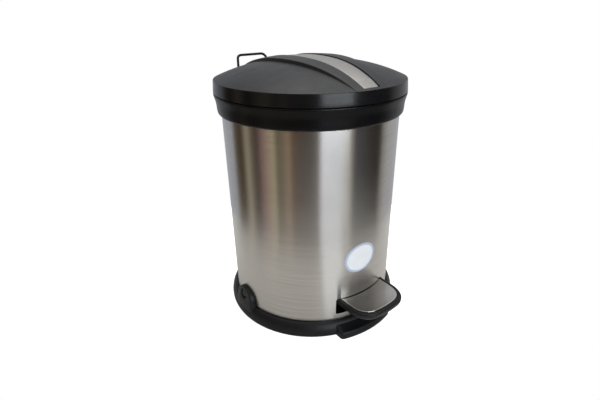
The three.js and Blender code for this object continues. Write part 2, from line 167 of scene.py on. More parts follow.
def rounded_box(bm, low, high, bevel):
    """Box between two corners, with all its edges rounded."""
    low, high = Vector(low) * MM, Vector(high) * MM
    made = bmesh.ops.create_cube(bm, size=1.0)["verts"]
    for v in made:
        v.co = Vector([low[i] + (v.co[i] + 0.5) * (high[i] - low[i]) for i in range(3)])
    edges = list({e for v in made for e in v.link_edges})
    bmesh.ops.bevel(bm, geom=edges, offset=bevel * MM, segments=3, profile=0.5, affect="EDGES")


def axle_hole(ob, r, side):
    """Cuts a round hole for the axle through one side of ob."""
    x0, x1 = (80, 110) if side > 0 else (-110, -80)  # clear of both faces of the wall
    bm = bmesh.new()
    lathe(bm, fillet([(0, x0), (r, x0), (r, x1), (0, x1)], [0, 0.1, 0.1, 0]), 40, closed=False)
    turn = Matrix.Rotation(math.radians(90), 4, "Y")
    bmesh.ops.transform(bm, matrix=Matrix.Translation((0, 0, AXLE_Z * MM)) @ turn, verts=bm.verts)
    cut(ob, bm)


def turn_about_axis(bm, angle):
    bmesh.ops.transform(bm, matrix=Matrix.Rotation(angle, 4, "Z"), verts=bm.verts)


def cut(ob, cutter_bm):
    """Takes a closed cutter out of ob's own mesh."""
    me = bpy.data.meshes.new("cutter")
    bmesh.ops.recalc_face_normals(cutter_bm, faces=cutter_bm.faces)
    cutter_bm.to_mesh(me)
    cutter_bm.free()
    tool = bpy.data.objects.new("cutter", me)
    bpy.context.scene.collection.objects.link(tool)
    mod = ob.modifiers.new("cut", "BOOLEAN")
    mod.operation = "DIFFERENCE"
    mod.solver = "EXACT"
    mod.object = tool
    bpy.context.view_layer.update()
    dg = bpy.context.evaluated_depsgraph_get()
    new = bpy.data.meshes.new_from_object(ob.evaluated_get(dg))
    old = ob.data
    ob.modifiers.clear()
    ob.data = new
    new.name = old.name
    bpy.data.meshes.remove(old)
    bpy.data.objects.remove(tool)
    bpy.data.meshes.remove(me)
    new.shade_smooth()
    new.set_sharp_from_angle(angle=math.radians(38))


# ---------------------------------------------------------------- node material tools


class Nodes:
    """Short forms for building a node tree."""

    def __init__(self, tree):
        self.t = tree

    def node(self, kind, **settings):
        n = self.t.nodes.new(kind)
        for k, v in settings.items():
            setattr(n, k, v)
        return n

    def link(self, a, b):
        self.t.links.new(a, b)

    def coords(self, scale=(1, 1, 1)):
        """Object coordinates, scaled."""
        tex = self.node("ShaderNodeTexCoord")
        mapping = self.node("ShaderNodeMapping")
        mapping.inputs["Scale"].default_value = scale
        self.link(tex.outputs["Object"], mapping.inputs["Vector"])
        return mapping.outputs["Vector"]

    def noise(self, vector, scale, detail=4.0, rough=0.55):
        n = self.node("ShaderNodeTexNoise")
        n.inputs["Scale"].default_value = scale
        n.inputs["Detail"].default_value = detail
        n.inputs["Roughness"].default_value = rough
        self.link(vector, n.inputs["Vector"])
        return n.outputs["Fac"]

    def remap(self, value, a, b, c, d, interpolation="LINEAR"):
        """Maps the range a to b onto the range c to d."""
        m = self.node("ShaderNodeMapRange", interpolation_type=interpolation)
        for key, v in zip(("From Min", "From Max", "To Min", "To Max"), (a, b, c, d)):
            m.inputs[key].default_value = v
        self.link(value, m.inputs["Value"])
        return m.outputs["Result"]

    def math(self, op, a, b=None):
        m = self.node("ShaderNodeMath", operation=op)
        for i, v in enumerate((a, b)):
            if v is None:
                continue
            if isinstance(v, (int, float)):
                m.inputs[i].default_value = v
            else:
                self.link(v, m.inputs[i])
        return m.outputs[0]

    def mix(self, fac, a, b):
        m = self.node("ShaderNodeMix", data_type="RGBA")
        self.link(fac, m.inputs[0])
        for v, i in ((a, 6), (b, 7)):
            if isinstance(v, tuple):
                m.inputs[i].default_value = (*v, 1.0)
            else:
                self.link(v, m.inputs[i])
        return m.outputs[2]

    def bearing(self, vector):
        """Angle of a vector to the right of the camera's direction from the bin, and its height."""
        turn = self.node("ShaderNodeVectorRotate", rotation_type="Z_AXIS")
        turn.inputs["Angle"].default_value = FRONT_TURN
        self.link(vector, turn.inputs["Vector"])
        xyz = self.node("ShaderNodeSeparateXYZ")
        self.link(turn.outputs[0], xyz.inputs[0])
        away = self.math("MULTIPLY", xyz.outputs["Y"], -1.0)
        return self.math("ARCTAN2", xyz.outputs["X"], away), xyz.outputs["Z"]

    def bump(self, height, strength, distance):
        b = self.node("ShaderNodeBump")
        b.inputs["Strength"].default_value = strength
        b.inputs["Distance"].default_value = distance
        self.link(height, b.inputs["Height"])
        return b.outputs["Normal"]


class Surface(Nodes):
    """A material with one Principled shader."""

    def __init__(self, name):
        self.mat = bpy.data.materials.new(name)
        self.mat.use_nodes = True
        super().__init__(self.mat.node_tree)
        self.bsdf = self.t.nodes["Principled BSDF"]

    def set(self, **values):
        names = {
            "metallic": "Metallic", "roughness": "Roughness", "specular": "Specular IOR Level",
            "aniso": "Anisotropic", "aniso_turn": "Anisotropic Rotation",
        }
        for k, v in values.items():
            self.bsdf.inputs[names[k]].default_value = v

    def color(self, out):
        self.link(out, self.bsdf.inputs["Base Color"])

    def rough(self, out):
        self.link(out, self.bsdf.inputs["Roughness"])

    def normal(self, out):
        self.link(out, self.bsdf.inputs["Normal"])


def moulded_plastic(name, dark, light, rough, grain, grain_depth, grain_strength, specular=0.5):
    """Moulded plastic: fine spark-eroded grain, faint flow mottling, handling marks in the gloss."""
    m = Surface(name)
    v = m.coords()
    fine = m.noise(v, grain, 3.0, 0.6)
    broad = m.noise(v, 28.0, 4.0, 0.5)
    smudge = m.noise(v, 75.0, 6.0, 0.65)
    m.color(m.mix(m.remap(broad, 0.3, 0.7, 0.0, 1.0), dark, light))
    m.rough(m.math("ADD", m.remap(smudge, 0.35, 0.7, *rough), m.remap(fine, 0.3, 0.7, -0.02, 0.03)))
    m.normal(m.bump(fine, grain_strength, grain_depth))
    m.set(specular=specular)
    return m


def brushed_round(name, base, tint, rough, aniso):
    """Steel brushed around the body: long horizontal scratches, broken up along their length."""
    m = Surface(name)
    tex = m.node("ShaderNodeTexCoord")
    xyz = m.node("ShaderNodeSeparateXYZ")
    m.link(tex.outputs["Object"], xyz.inputs[0])
    angle = m.math("ARCTAN2", xyz.outputs["Y"], xyz.outputs["X"])
    unrolled = m.node("ShaderNodeCombineXYZ")
    m.link(m.math("MULTIPLY", angle, 0.02), unrolled.inputs[0])
    m.link(xyz.outputs["Z"], unrolled.inputs[2])

    def scratches(along, across, detail, broken):
        stretch = m.node("ShaderNodeMapping")
        stretch.inputs["Scale"].default_value = (along, 1.0, across)
        m.link(unrolled.outputs[0], stretch.inputs["Vector"])
        return m.noise(stretch.outputs["Vector"], 1.0, detail, broken)

    short = m.math("MULTIPLY", scratches(520.0, 5200.0, 5.0, 0.7), 0.45)
    long = m.math("MULTIPLY", scratches(52.0, 1248.0, 3.0, 0.6), 0.55)
    grain = m.math("ADD", short, long)
    cloud = m.noise(m.coords(), 14.0, 3.0, 0.5)
    m.color(m.mix(m.remap(grain, 0.4, 0.6, 0.0, 1.0), tint, base))
    gloss = m.remap(grain, 0.3, 0.7, rough + 0.03, rough - 0.02)
    m.rough(m.math("ADD", gloss, m.remap(cloud, 0.3, 0.7, -0.02, 0.02)))
    m.normal(m.bump(grain, 0.02, 0.00002))
    tangent = m.node("ShaderNodeTangent", direction_type="RADIAL", axis="Z")
    m.link(tangent.outputs[0], m.bsdf.inputs["Tangent"])
    m.set(metallic=1.0, aniso=aniso, aniso_turn=0.25)
    return m


def brushed_straight(name, base, tint, rough, aniso, along):
    """Flat or gently curved steel brushed along one direction."""
    m = Surface(name)
    lines = 4200.0
    scale = (lines, 90.0, lines) if along == "Y" else (90.0, lines, lines)
    scratch = m.noise(m.coords(scale), 1.0, 5.0, 0.65)
    cloud = m.noise(m.coords(), 30.0, 3.0, 0.5)
    m.color(m.mix(m.remap(scratch, 0.35, 0.65, 0.0, 1.0), tint, base))
    m.set(metallic=1.0, aniso=aniso)
    gloss = m.remap(scratch, 0.3, 0.7, rough + 0.06, rough - 0.04)
    m.rough(m.math("ADD", gloss, m.remap(cloud, 0.3, 0.7, -0.03, 0.03)))
    m.normal(m.bump(scratch, 0.15, 0.00002))
    tangent = m.node("ShaderNodeTangent", direction_type="RADIAL", axis="X" if along == "Y" else "Y")
    m.link(tangent.outputs[0], m.bsdf.inputs["Tangent"])
    return m


def plated_steel(name, base, rough):
    """Plain zinc-plated steel with a faint spangle."""
    m = Surface(name)
    v = m.coords()
    spots = m.noise(v, 160.0, 5.0, 0.6)
    m.color(m.mix(m.remap(spots, 0.35, 0.7, 0.0, 1.0), base, tuple(c * 0.82 for c in base)))
    m.set(metallic=1.0)
    m.rough(m.remap(spots, 0.3, 0.7, rough - 0.05, rough + 0.1))
    m.normal(m.bump(spots, 0.1, 0.00003))
    return m


LID_TOP = moulded_plastic(
    "lid_plastic", (0.012, 0.012, 0.0125), (0.015, 0.015, 0.0155),
    (0.40, 0.50), 1700, 0.00005, 0.4, 0.32)
# painted shade: the skirt and underside use a darker copy of the lid plastic; its lower roughness is the
# skirt's own gloss, its darker colour is painted shade
LID_SKIRT_GLOSS_AND_SHADE = moulded_plastic(
    "lid_skirt_gloss_and_shade", (0.005, 0.005, 0.0056), (0.0068, 0.0068, 0.0074),
    (0.17, 0.25), 1700, 0.00003, 0.25, 0.3)
COLLAR_BLACK = moulded_plastic(
    "collar_plastic", (0.0026, 0.0026, 0.003), (0.0036, 0.0036, 0.004),
    (0.24, 0.34), 2200, 0.00003, 0.2, 0.2)
BASE_BLACK = moulded_plastic(
    "base_plastic", (0.0065, 0.0065, 0.0075), (0.009, 0.009, 0.010),
    (0.36, 0.47), 1800, 0.00004, 0.3, 0.2)
PEDAL_BLACK = moulded_plastic(
    "pedal_plastic", (0.0055, 0.0055, 0.006), (0.0075, 0.0075, 0.008),
    (0.34, 0.45), 1800, 0.00004, 0.3, 0.22)
COVER_BLACK = moulded_plastic(
    "cover_plastic", (0.012, 0.012, 0.013), (0.016, 0.016, 0.017),
    (0.5, 0.62), 1500, 0.00005, 0.4)
BUCKET_GREY = moulded_plastic(
    "bucket_plastic", (0.018, 0.0185, 0.020), (0.024, 0.0245, 0.026),
    (0.45, 0.58), 1300, 0.00005, 0.4)
WIRE_BLACK = moulded_plastic(
    "black_wire", (0.004, 0.004, 0.0045), (0.006, 0.006, 0.0065),
    (0.30, 0.42), 2600, 0.00004, 0.3, 0.25)
BODY_STEEL = brushed_round("body_steel", (0.58, 0.56, 0.53), (0.485, 0.465, 0.435), 0.22, 0.92)
STRIP_STEEL = brushed_straight("strip_steel", (0.36, 0.35, 0.335), (0.30, 0.29, 0.275), 0.48, 0.3, "Y")
PEDAL_STEEL = brushed_straight("pedal_steel", (0.56, 0.545, 0.515), (0.50, 0.485, 0.455), 0.19, 0.4, "X")
PLAIN_STEEL = plated_steel("plain_steel", (0.46, 0.47, 0.49), 0.34)
BARE_WIRE = plated_steel("bare_wire", (0.60, 0.60, 0.62), 0.22)


def film(name, color, rough):
    """Printed plastic film, lightly rippled."""
    m = Surface(name)
    v = m.coords()
    wave = m.noise(v, 120.0, 3.0, 0.5)
    m.color(m.mix(m.remap(wave, 0.3, 0.7, 0.0, 1.0), color, tuple(c * 0.95 for c in color)))
    m.rough(m.remap(wave, 0.3, 0.7, rough, rough + 0.08))
    m.normal(m.bump(wave, 0.08, 0.00005))
    return m


LABEL_WHITE = film("label_film", (0.84, 0.86, 0.88), 0.32)
LABEL_EDGE = film("label_edge", (0.46, 0.54, 0.68), 0.32)

# ---------------------------------------------------------------- lid


def dome(r):
    """Height of the lid's dome."""
    return LID_EDGE_Z + DOME_RISE * (1 - (min(r, LID_EDGE_R) / LID_EDGE_R) ** DOME_POWER)


def band_top(r):
    """Height of the raised band that crosses the lid."""
    return LID_EDGE_Z + BAND_RISE * (1 - (min(r, LID_EDGE_R) / LID_EDGE_R) ** BAND_POWER)


def bezier(p0, p1, p2, p3, t):
    """Point on a cubic Bezier curve in a plane."""
    s = 1 - t
    weights = (s ** 3, 3 * s * s * t, 3 * s * t * t, t ** 3)
    return [sum(w * p[i] for w, p in zip(weights, (p0, p1, p2, p3))) for i in range(2)]


def width_along(control, y):
    """Half width at y of a Bezier edge given as four (half width, y) points with falling y."""
    if y >= control[0][1]:
        return control[0][0]
    if y <= control[3][1]:
        return control[3][0]
    low, high = 0.0, 1.0
    for _ in range(40):
        mid = (low + high) / 2
        if bezier(*control, mid)[1] > y:
            low = mid
        else:
            high = mid
    return bezier(*control, (low + high) / 2)[0]


CHANNEL_DEPTH = 1.9
STRIP_DROP = 0.95
STRIP_GAP = 0.35
CHANNEL_WALL = 0.25
GROOVE_DEPTH = 0.45
BAND_EDGE = ((37.5, 50.0), (37.0, 10.0), (30.0, -46.0), (17.0, -101.0))
STRIP_EDGE = ((15.0, 92.0), (16.0, 20.0), (12.5, -50.0), (8.6, -95.5))


def smooth(t):
    """Eased step from 0 to 1."""
    t = min(max(t, 0.0), 1.0)
    return t * t * (3 - 2 * t)


def lid_height(x, y):
    """Height of the lid's top: dome, band with a groove along its foot, channel for the strip."""
    r = math.hypot(x, y)
    side = abs(x)
    edge = width_along(BAND_EDGE, y)
    z = dome(r) + (band_top(r) - dome(r)) * smooth((edge + 0.6 - side) / 1.2)
    z -= GROOVE_DEPTH * math.exp(-((side - edge - 0.75) / 0.45) ** 2)
    channel = width_along(STRIP_EDGE, y) + STRIP_GAP + CHANNEL_WALL
    if STRIP_FRONT - STRIP_GAP <= y <= STRIP_REAR + STRIP_GAP and side <= channel:
        z -= CHANNEL_DEPTH * smooth((channel - side) / CHANNEL_WALL)
    return z


def lid_rows():
    """Positions along the lid, with extra rows at the two ends of the strip's channel."""
    rows = [LID_EDGE_R * math.cos(math.pi * i / 170) for i in range(171)]
    rows += [-95.8, -96.2, -95.4, 92.3, 92.7, 91.9]
    return sorted(set(rows), reverse=True)


def lid_columns(y):
    """Positions across the lid from its left edge to its right, following the band and the strip."""
    chord = math.sqrt(max(LID_EDGE_R ** 2 - y * y, 0.0))
    edge = width_along(BAND_EDGE, y)
    strip = width_along(STRIP_EDGE, y) + STRIP_GAP
    inner = strip + CHANNEL_WALL
    marks = [0.0]
    marks += [strip * k / 5 for k in range(1, 6)]
    marks += [strip + 0.12, inner]
    marks += [inner + (edge - 0.6 - inner) * k / 6 for k in range(1, 7)]
    marks += [edge - 0.6 + 0.15 * k for k in range(1, 16)]
    outer = edge + 1.65
    marks += [outer + max(chord - outer, 0.0) * k / 22 for k in range(1, 23)]
    marks = [min(m, chord) for m in marks]
    return [-m for m in reversed(marks[1:])] + marks


def build_lid():
    """One shell: the dome with its band and channel, then the skirt, then the underside."""
    bm = bmesh.new()
    rows = []
    for y in lid_rows():
        rows.append([bm.verts.new((x * MM, y * MM, lid_height(x, y) * MM)) for x in lid_columns(y)])
    for a, b in zip(rows, rows[1:]):
        for k in range(len(a) - 1):
            bm.faces.new((a[k], b[k], b[k + 1], a[k + 1]))
    bmesh.ops.remove_doubles(bm, verts=bm.verts, dist=3e-5)
    bmesh.ops.dissolve_degenerate(bm, dist=1e-6, edges=bm.edges)
    # the rim's vertices in order round the lid
    rim = next(e for e in bm.edges if e.is_boundary)
    loop = [rim.verts[0]]
    seen = {rim.verts[0]}
    while True:
        around = [e.other_vert(loop[-1]) for e in loop[-1].link_edges if e.is_boundary]
        unseen = [v for v in around if v not in seen]
        if not unseen:
            break
        loop.append(unseen[0])
        seen.add(unseen[0])
    skirt = [
        (99.1, 257.86), (99.32, 257.5), (99.42, 256.9), (99.6, 254.5), (99.9, 250.0), (100.16, 246.5),
        (100.15, 246.05), (99.9, 245.8), (98.4, 245.8), (98.1, 246.0), (97.9, 248.0), (97.2, 254.5),
        (96.3, 256.3),
    ]
    under = [(r, dome(r) - LID_WALL) for r in (94, 90, 82, 72, 60, 46, 30, 14)]
    previous = loop
    n = len(loop)
    angles = [math.atan2(v.co.y, v.co.x) for v in loop]
    for r, z in skirt + under:
        ring = [bm.verts.new((r * math.cos(a) * MM, r * math.sin(a) * MM, z * MM)) for a in angles]
        for k in range(n):
            k2 = (k + 1) % n
            face = bm.faces.new((previous[k], previous[k2], ring[k2], ring[k]))
            face.material_index = 1
        previous = ring
    mid = bm.verts.new((0, 0, (dome(0) - LID_WALL) * MM))
    for k in range(n):
        bm.faces.new((previous[k], previous[(k + 1) % n], mid))
    turn_about_axis(bm, BAND_TURN)
    # the second material, darkened by painted shade, covers the skirt and underside
    looks = [LID_TOP.mat, LID_SKIRT_GLOSS_AND_SHADE.mat]
    lid = finish_mesh("lid_dome", bm, looks, "lid", ["lid_shell"], sharp=50)
    hinge_notch = bmesh.new()
    rounded_box(hinge_notch, (-22.6, 88, 236), (22.6, 106, 255.4), 1.2)
    cut(lid, hinge_notch)


def grid_edge(rows):
    """The outer vertices of a grid, in order."""
    far = [row[-1] for row in reversed(rows[:-1])]
    return [row[0] for row in rows] + rows[-1][1:] + far + rows[0][-2:0:-1]


def build_strip():
    """Steel inlay: a thin crowned sheet with rolled edges, lying in the lid's channel."""
    bm = bmesh.new()
    cells = 120
    across = [-1, -0.985, -0.95, -0.8, -0.55, -0.28, 0, 0.28, 0.55, 0.8, 0.95, 0.985, 1]
    side_drop = {1: 0.34, 0.985: 0.10}
    end_drop = {0: 0.3}
    end_width = {0: 0.86, 1: 0.97}
    thickness = 0.7
    top, low = [], []
    for i in range(cells + 1):
        y = STRIP_FRONT + (STRIP_REAR - STRIP_FRONT) * i / cells
        from_end = min(i, cells - i)
        half = width_along(STRIP_EDGE, y)
        upper, lower = [], []
        for s in across:
            x = half * s * end_width.get(from_end, 1.0)
            z = band_top(math.hypot(x, y)) - STRIP_DROP
            roll = max(side_drop.get(abs(s), 0.0), end_drop.get(from_end, 0.0))
            upper.append(bm.verts.new(Vector((x, y, z - roll)) * MM))
            lower.append(bm.verts.new(Vector((x, y, z - thickness)) * MM))
        top.append(upper)
        low.append(lower)
    for grid in (top, low):
        for a, b in zip(grid, grid[1:]):
            for k in range(len(across) - 1):
                bm.faces.new((a[k], b[k], b[k + 1], a[k + 1]))
    ring_t, ring_l = grid_edge(top), grid_edge(low)
    for k in range(len(ring_t)):
        k2 = (k + 1) % len(ring_t)
        bm.faces.new((ring_t[k], ring_t[k2], ring_l[k2], ring_l[k]))
    turn_about_axis(bm, BAND_TURN)
    finish_mesh("lid_inlay", bm, STRIP_STEEL.mat, "lid", ["lid_strip"])


# ---------------------------------------------------------------- collar, hinge and carry handle


def build_collar():
    """Collar ring with the hinge's housing and ears."""
    bm = bmesh.new()
    pts = [
        (96.0, 224.7), (97.2, 226.0), (97.6, 229.0), (98.1, 236.2), (99.95, 242.9), (100.15, 243.7),
        (100.15, 245), (97.5, 245), (85.4, 245), (85.4, 243), (82.5, 243), (82.5, 234), (84.1, 234),
        (84.1, 240.8), (90.9, 240.8),
        (90.9, 229), (92.5, 229), (92.5, 238.4), (94.1, 238.4), (93.85, 224.7),
    ]
    radii = [
        0.8, 1.0, 1.5, 3.0, 0.3, 0.3,
        0.9, 0.3, 0.4, 0.4, 0.4, 0.3, 0.3,
        0.5, 0.5, 0.3, 0.3, 0.3, 0.3, 0.2,
    ]
    lathe(bm, fillet(pts, radii), 240)
    collar = finish_mesh("collar_ring", bm, COLLAR_BLACK.mat, "stand", ["collar"])
    rod_hole = bmesh.new()
    lathe(rod_hole, [(0, 236), (1.9, 236), (1.9, 250), (0, 250)], 24, ROD_Y, closed=False)
    cut(collar, rod_hole)
    housing = bmesh.new()
    rounded_box(housing, (-24.6, 94.7, 230), (24.6, 108, 245), 1.4)
    block = finish_mesh("hinge_housing", housing, COLLAR_BLACK.mat, "stand")
    pocket = bmesh.new()
    rounded_box(pocket, (-17, 98, 226), (17, 105, 241.5), 1.0)
    cut(block, pocket)
    build_hinge_ear("hinge_ear_left", -21.2)
    build_hinge_ear("hinge_ear_right", 15.2)


def build_hinge_ear(name, low):
    """Ear for the hinge pin, 6 mm thick from x = low, with rounded rims."""
    radius, root_half, root_z, thick = 4.2, 4.6, 244.2, 6.0
    centre_z = HINGE_Z - 1
    outline = []
    for k in range(25):
        a = math.pi * k / 24
        outline.append((HINGE_Y + radius * math.cos(a), HINGE_Z + radius * math.sin(a)))
    outline += [(HINGE_Y - root_half, root_z), (HINGE_Y + root_half, root_z)]
    loops = []
    for inset, depth in ((0.7, 0), (0.2, 0.2), (0.0, 0.7), (0.0, 5.3), (0.2, 5.8), (0.7, thick)):
        loops.append([
            (low + depth, y - inset * (y - HINGE_Y) / root_half, z - inset * (z - centre_z) / 6.0)
            for y, z in outline
        ])
    bm = bmesh.new()
    skin(bm, loops, caps=(True, True))
    finish_mesh(name, bm, COLLAR_BLACK.mat, "stand")


def bent_path(points, bends):
    """A path through corner points, with each inner corner rounded."""
    pts = [Vector(p) for p in points]
    path = [pts[0]]
    for i in range(1, len(pts) - 1):
        d = bends[i - 1]
        a = pts[i] + (pts[i - 1] - pts[i]).normalized() * d
        b = pts[i] + (pts[i + 1] - pts[i]).normalized() * d
        for k in range(13):
            t = k / 12
            path.append(a.lerp(pts[i], t).lerp(pts[i].lerp(b, t), t))
    path.append(pts[-1])
    return path


def swept(name, path, radius, material, body, replaces):
    """Round wire along a path, with domed ends."""
    bm = bmesh.new()
    n = len(path)
    tangents = [(path[min(i + 1, n - 1)] - path[max(i - 1, 0)]).normalized() for i in range(n)]
    normal = tangents[0].orthogonal().normalized()
    loops = []
    for i, (p, t) in enumerate(zip(path, tangents)):
        normal = (normal - t * normal.dot(t)).normalized()
        other = t.cross(normal)
        stations = [(1, 0.0)]
        if i == 0:
            stations = [(0.55, -0.28), (0.88, -0.12), (1, 0.05)]
        if i == n - 1:
            stations = [(1, -0.05), (0.88, 0.12), (0.55, 0.28)]
        for width, shift in stations:
            loops.append([
                p + (t * shift + (normal * math.cos(a) + other * math.sin(a)) * width) * radius
                for a in circle(24)
            ])
    skin(bm, loops, caps=(True, True))
    finish_mesh(name, bm, material, body, replaces)


def build_handle():
    """Wire carry handle, its feet turned in to the hinge housing."""
    foot, top = (HANDLE_Y, HANDLE_Z), (124, 270)
    corners = [(-20.2, *foot), (-28.6, *foot), (-18.5, *top), (18.5, *top), (28.6, *foot), (20.2, *foot)]
    path = bent_path(corners, [2.6, 5, 5, 2.6])
    swept("handle_wire", path, 1.5, WIRE_BLACK.mat, "handle", ["carry_handle"])


# ---------------------------------------------------------------- steel body and label


def build_body():
    """Slightly tapered steel shell with the pedal's slot and the axle's holes."""
    bm = bmesh.new()
    levels = [8.0 + (238.0 - 8.0) * i / 30 for i in range(31)]
    outer = [(body_r(z), z) for z in levels]
    inner = [(body_r(z) - BODY_WALL, z) for z in reversed(levels)]
    lathe(bm, outer + inner, 288)
    body = finish_mesh("steel_body", bm, BODY_STEEL.mat, "stand", ["body_shell"])
    slot = bmesh.new()
    corners = [
        (-SLOT_HALF, SLOT_LOW), (SLOT_HALF, SLOT_LOW), (SLOT_HALF, SLOT_HIGH), (-SLOT_HALF, SLOT_HIGH),
    ]
    outline = fillet(corners, [2.2] * 4, 5)
    skin(slot, [[(x, y, z) for x, z in outline] for y in (-100, -60)], caps=(True, True))
    turn_about_axis(slot, PEDAL_TURN)
    cut(body, slot)
    for side, _ in SIDES:
        axle_hole(body, 3.6, side)
    build_seam()


def build_seam():
    """Folded seam up the back of the steel."""
    fold = ((-1.9, 0.0), (-1.75, 0.22), (-1.5, 0.34), (-0.8, 0.36), (0.5, 0.36), (1.1, 0.3), (1.35, 0.05))
    loops = []
    for i in range(21):
        z = 17.0 + (224.0 - 17.0) * i / 20
        row = []
        for degrees, lift in fold:
            a = math.radians(90 + degrees)
            r = body_r(z) + lift
            row.append((r * math.cos(a), r * math.sin(a), z))
        loops.append(row)
    bm = bmesh.new()
    skin(bm, loops, closed_loops=False)
    finish_mesh("body_seam", bm, BODY_STEEL.mat, "stand")


def build_label():
    """Blank oval label wrapped on the front of the body, a little out of square, with a tinted edge."""
    half_wide, half_high, centre_z = 19.4, 16.2, 86.0
    turn = math.radians(8)
    sides = 96
    rings = [(f, 0.42) for f in (0.0, 0.25, 0.5, 0.7, 0.84, 0.86, 0.93)] + [(0.98, 0.38), (1.0, 0.12)]
    edge_from = 5
    bm = bmesh.new()
    rows = []
    for f, lift in rings:
        row = []
        for a in circle(sides) if f > 0 else [0.0]:
            u0, v0 = half_wide * f * math.cos(a), half_high * f * math.sin(a)
            u = u0 * math.cos(turn) - v0 * math.sin(turn)
            z = centre_z + u0 * math.sin(turn) + v0 * math.cos(turn)
            b = u / body_r(z) - math.pi / 2
            r = (body_r(z) + lift) * MM
            row.append(bm.verts.new((r * math.cos(b), r * math.sin(b), z * MM)))
        rows.append(row)
    for i, (a, b) in enumerate(zip(rows, rows[1:])):
        for k in range(sides):
            k2 = (k + 1) % sides
            if len(a) == 1:
                face = bm.faces.new((a[0], b[k], b[k2]))
            else:
                face = bm.faces.new((a[k], b[k], b[k2], a[k2]))
            face.material_index = 1 if i >= edge_from else 0
    turn_about_axis(bm, LABEL_TURN)
    finish_mesh("oval_label", bm, [LABEL_WHITE.mat, LABEL_EDGE.mat], "stand", ["label"])


# ---------------------------------------------------------------- base ring


def build_base():
    """Base ring with the foot under the pedal and the two lugs over the axle's ends."""
    pts = [
        (85.4, 0), (96.6, 0), (98.1, 2.2), (98.35, 5.4), (97.6, 9.6), (95.6, 13.4), (93.6, 15.6),
        (92.3, 16.3), (91.25, 16.2), (91.25, 7.6), (89.3, 7.6), (89.3, 12), (87.6, 12), (87.6, 5.4),
        (77, 5.4), (77, 2.8), (85.4, 2.8),
    ]
    radii = [0.4, 1.6, 1.5, 2.0, 2.0, 2.0, 0.8, 0.5, 0.25, 0.2, 0.2] + [0.3] * 6
    bm = bmesh.new()
    lathe(bm, fillet(pts, radii), 240)
    ring = finish_mesh("base_moulding", bm, BASE_BLACK.mat, "stand", ["base_ring"])
    for side, _ in SIDES:
        axle_hole(ring, 3.3, side)
    build_foot()
    for side, name in SIDES:
        build_lug(side, name)


def build_caps():
    """Push-on caps: a skirted dome over each end of the axle."""
    profile = [
        (0, 95.5), (1.6, 95.4), (3.1, 95.05), (4.2, 94.5), (4.8, 94.0), (4.9, 93.6), (4.75, 93.45),
        (3.2, 93.45), (3.2, 94.7), (0, 94.7),
    ]
    for side, name in SIDES:
        cap = bmesh.new()
        lathe(cap, profile, 48, closed=False)
        turn = Matrix.Rotation(math.radians(90 * side), 4, "Y")
        bmesh.ops.transform(cap, matrix=Matrix.Translation((0, 0, AXLE_Z * MM)) @ turn, verts=cap.verts)
        finish_mesh("dome_cap_" + name, cap, COVER_BLACK.mat, "stand", ["axle_cap_" + name])


def foot_outline(inset):
    """Plan outline of the foot under the pedal: an arc about the bin's axis with rounded corners."""
    front = 106.2 - inset
    half = 35.3 - inset
    corner = max(4.5 - inset, 1.2)
    spread = math.asin((half - corner) / (front - corner))
    cx, cy = (front - corner) * math.sin(spread), -(front - corner) * math.cos(spread)
    side = [(half, FOOT_REAR + (cy - FOOT_REAR) * k / 4) for k in range(5)]
    for k in range(1, 9):
        a = (spread - math.pi / 2) * k / 8
        side.append((cx + corner * math.cos(a), cy + corner * math.sin(a)))
    arc = []
    for k in range(1, 24):
        a = spread - 2 * spread * k / 24
        arc.append((front * math.sin(a), -front * math.cos(a)))
    return side + arc + [(-x, y) for x, y in reversed(side)]


def foot_top(x, y):
    """The foot's top slopes up from its front edge to the body."""
    share = min(max((104.2 - math.hypot(x, y)) / 12.5, 0.0), 1.0)
    return 8.9 + 6.9 * share ** 1.5


def build_foot():
    """Foot under the pedal: its wall, its rounded top edge, then the sloping top."""
    loops = []
    for inset, z in ((1.4, 0.0), (0.5, 0.25), (0.0, 1.1), (0.0, 6.3)):
        loops.append([(x, y, z) for x, y in foot_outline(inset)])
    for inset, fall in ((0.15, 1.35), (0.6, 0.62), (1.3, 0.16), (2.2, 0.0)):
        loops.append([(x, y, foot_top(x, y) - fall) for x, y in foot_outline(inset)])
    for f in (0.2, 0.4, 0.6, 0.8, 1.0):
        row = []
        for x, y in foot_outline(2.2):
            nx, ny = x * (1 - 0.04 * f), y + (FOOT_REAR - y) * f
            row.append((nx, ny, foot_top(nx, ny)))
        loops.append(row)
    bm = bmesh.new()
    skin(bm, loops, closed_loops=False)
    finish_mesh("front_foot", bm, BASE_BLACK.mat, "stand")


